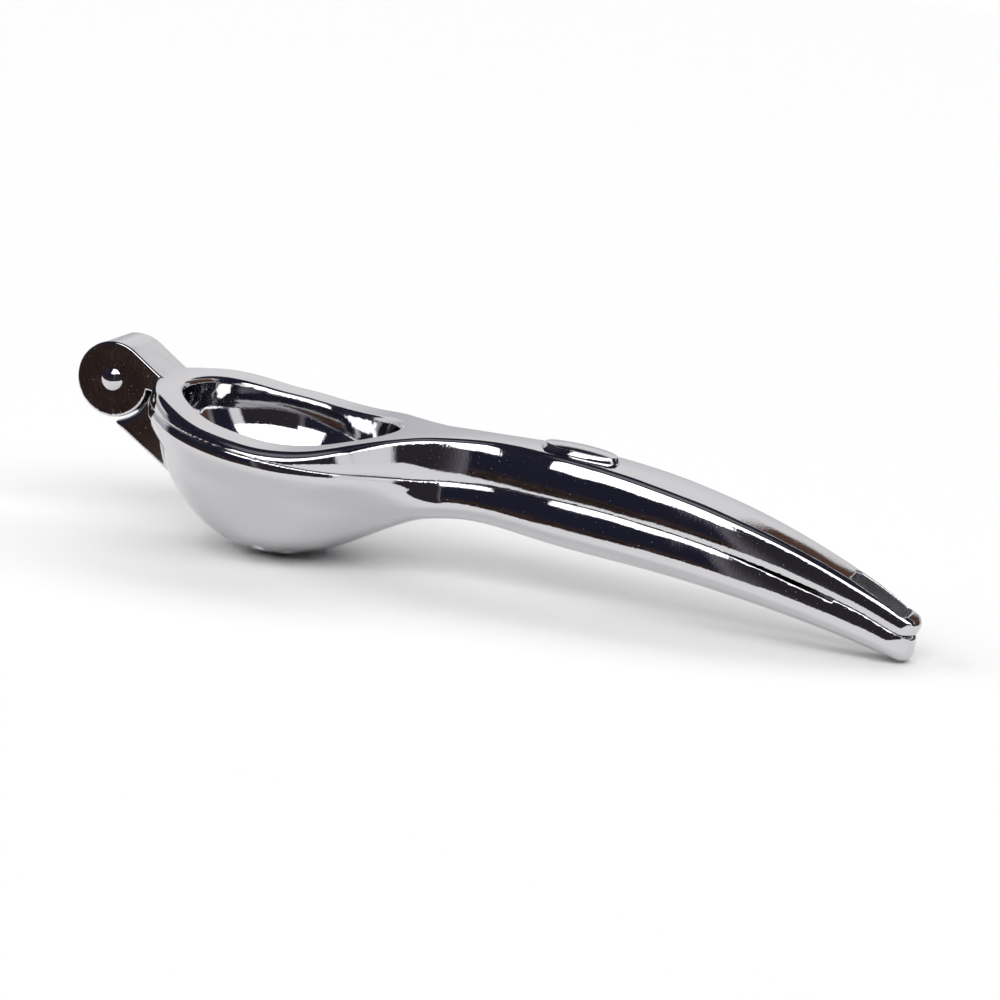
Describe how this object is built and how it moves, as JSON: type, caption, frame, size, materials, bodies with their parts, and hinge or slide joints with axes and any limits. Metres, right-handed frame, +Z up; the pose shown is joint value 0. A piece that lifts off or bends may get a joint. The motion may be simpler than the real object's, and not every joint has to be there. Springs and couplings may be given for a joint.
{
  "type": "lemon squeezer",
  "caption": "Hand lemon squeezer of two hinged cast levers: a domed press cup closes into a drilled bowl, with curved handles and a hanging slot.",
  "frame": {"origin": "centre of the bounding box in plan, on the table that the bowl and the lower handle's tip rest on", "axes": "+X from the hinge to the handle tips, +Z up from the table, Y along the hinge pin"},
  "size_m": [0.2202, 0.0708, 0.0481],
  "materials": {
    "casting": "polished",
    "pin": "dull",
    "plate": "polished"
  },
  "bodies": {
    "lower_lever": {"lower_casting": "casting"},
    "upper_lever": {"upper_casting": "casting", "hinge_pin": "pin", "oval_plate": "plate"}
  },
  "joints": [
    {"name": "hinge", "type": "hinge", "parent": "lower_lever", "child": "upper_lever", "pos_m": [-0.1004, 0, 0.03843], "axis": [0, -1, 0], "range_deg": [0, 120]}
  ]
}
